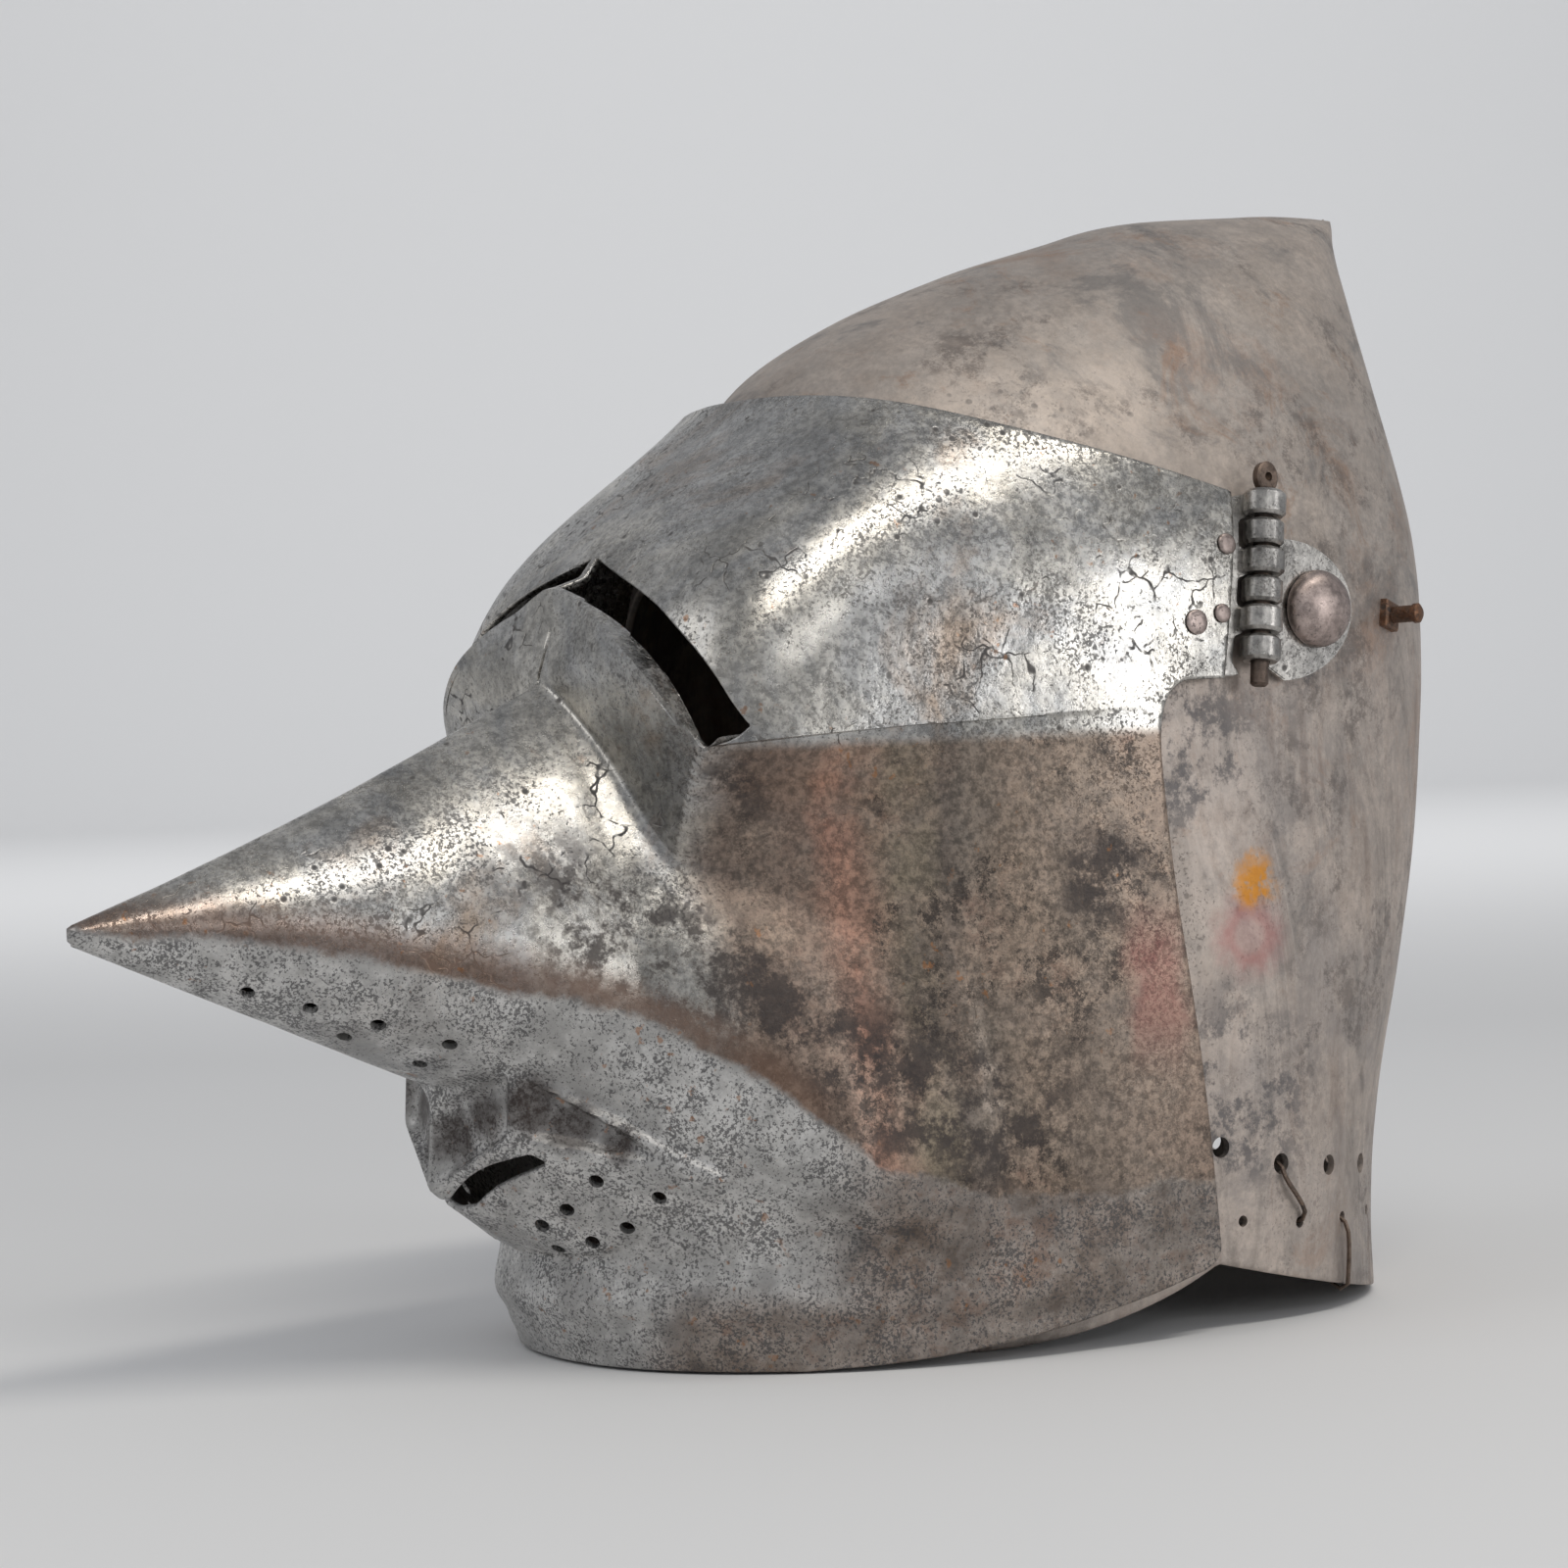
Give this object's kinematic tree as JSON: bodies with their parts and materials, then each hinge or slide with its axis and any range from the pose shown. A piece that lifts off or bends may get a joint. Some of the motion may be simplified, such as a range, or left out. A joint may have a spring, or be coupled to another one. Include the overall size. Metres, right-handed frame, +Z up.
{
  "type": "bascinet helmet with snouted visor",
  "caption": "Late medieval steel helmet with a pointed skull and a long-snouted visor that lifts on side pivots, with removable hinge pins.",
  "frame": {"origin": "centre of the helmet's footprint on the plane that its rim stands on", "axes": "+X to the wearer's left, +Y to the back, +Z up; the snout points to -Y"},
  "size_m": [0.2004, 0.4073, 0.303],
  "materials": {
    "skull_steel": "old hand-polished steel, finely pitted, with warm grey and blue-grey patches",
    "visor_steel": "old hand-polished steel, pitted, with brown streaks down the cheeks",
    "hinge_steel": "worn steel with dark seams",
    "rivet_steel": "domed and hammered steel, browned at the edges",
    "dark_iron": "dark brown iron with light rust"
  },
  "bodies": {
    "skull": {"skull_bowl": "skull_steel", "pivot_washer_left": "hinge_steel", "pivot_rove_left": "dark_iron", "pivot_rivet_left": "rivet_steel", "stud_base_left": "dark_iron", "stud_peg_left": "dark_iron", "pivot_washer_right": "hinge_steel", "pivot_rove_right": "dark_iron", "pivot_rivet_right": "rivet_steel", "stud_base_right": "dark_iron", "stud_peg_right": "dark_iron", "stitch_wire_1": "dark_iron", "stitch_wire_2": "dark_iron"},
    "visor": {"visor_shell": "visor_steel", "pivot_plate_left": "hinge_steel", "hinge_leaf_left": "hinge_steel", "leaf_rivet_1_left": "rivet_steel", "leaf_rivet_2_left": "rivet_steel", "leaf_rivet_3_left": "rivet_steel", "pivot_plate_right": "hinge_steel", "hinge_leaf_right": "hinge_steel", "leaf_rivet_1_right": "rivet_steel", "leaf_rivet_2_right": "rivet_steel", "leaf_rivet_3_right": "rivet_steel"},
    "pin_left": {"hinge_pin_left": "dark_iron"},
    "pin_right": {"hinge_pin_right": "dark_iron"}
  },
  "joints": [
    {"name": "visor_lift", "type": "hinge", "parent": "skull", "child": "visor", "pos_m": [0, 0.11348, 0.188], "axis": [-1, 0, 0], "range_deg": [0, 80]},
    {"name": "pin_left_pull", "type": "slide", "parent": "visor", "child": "pin_left", "axis": [-0.1266, 0.183, 0.9749], "range_m": [0, 0.056]},
    {"name": "pin_right_pull", "type": "slide", "parent": "visor", "child": "pin_right", "axis": [0.1266, 0.183, 0.9749], "range_m": [0, 0.056]}
  ]
}
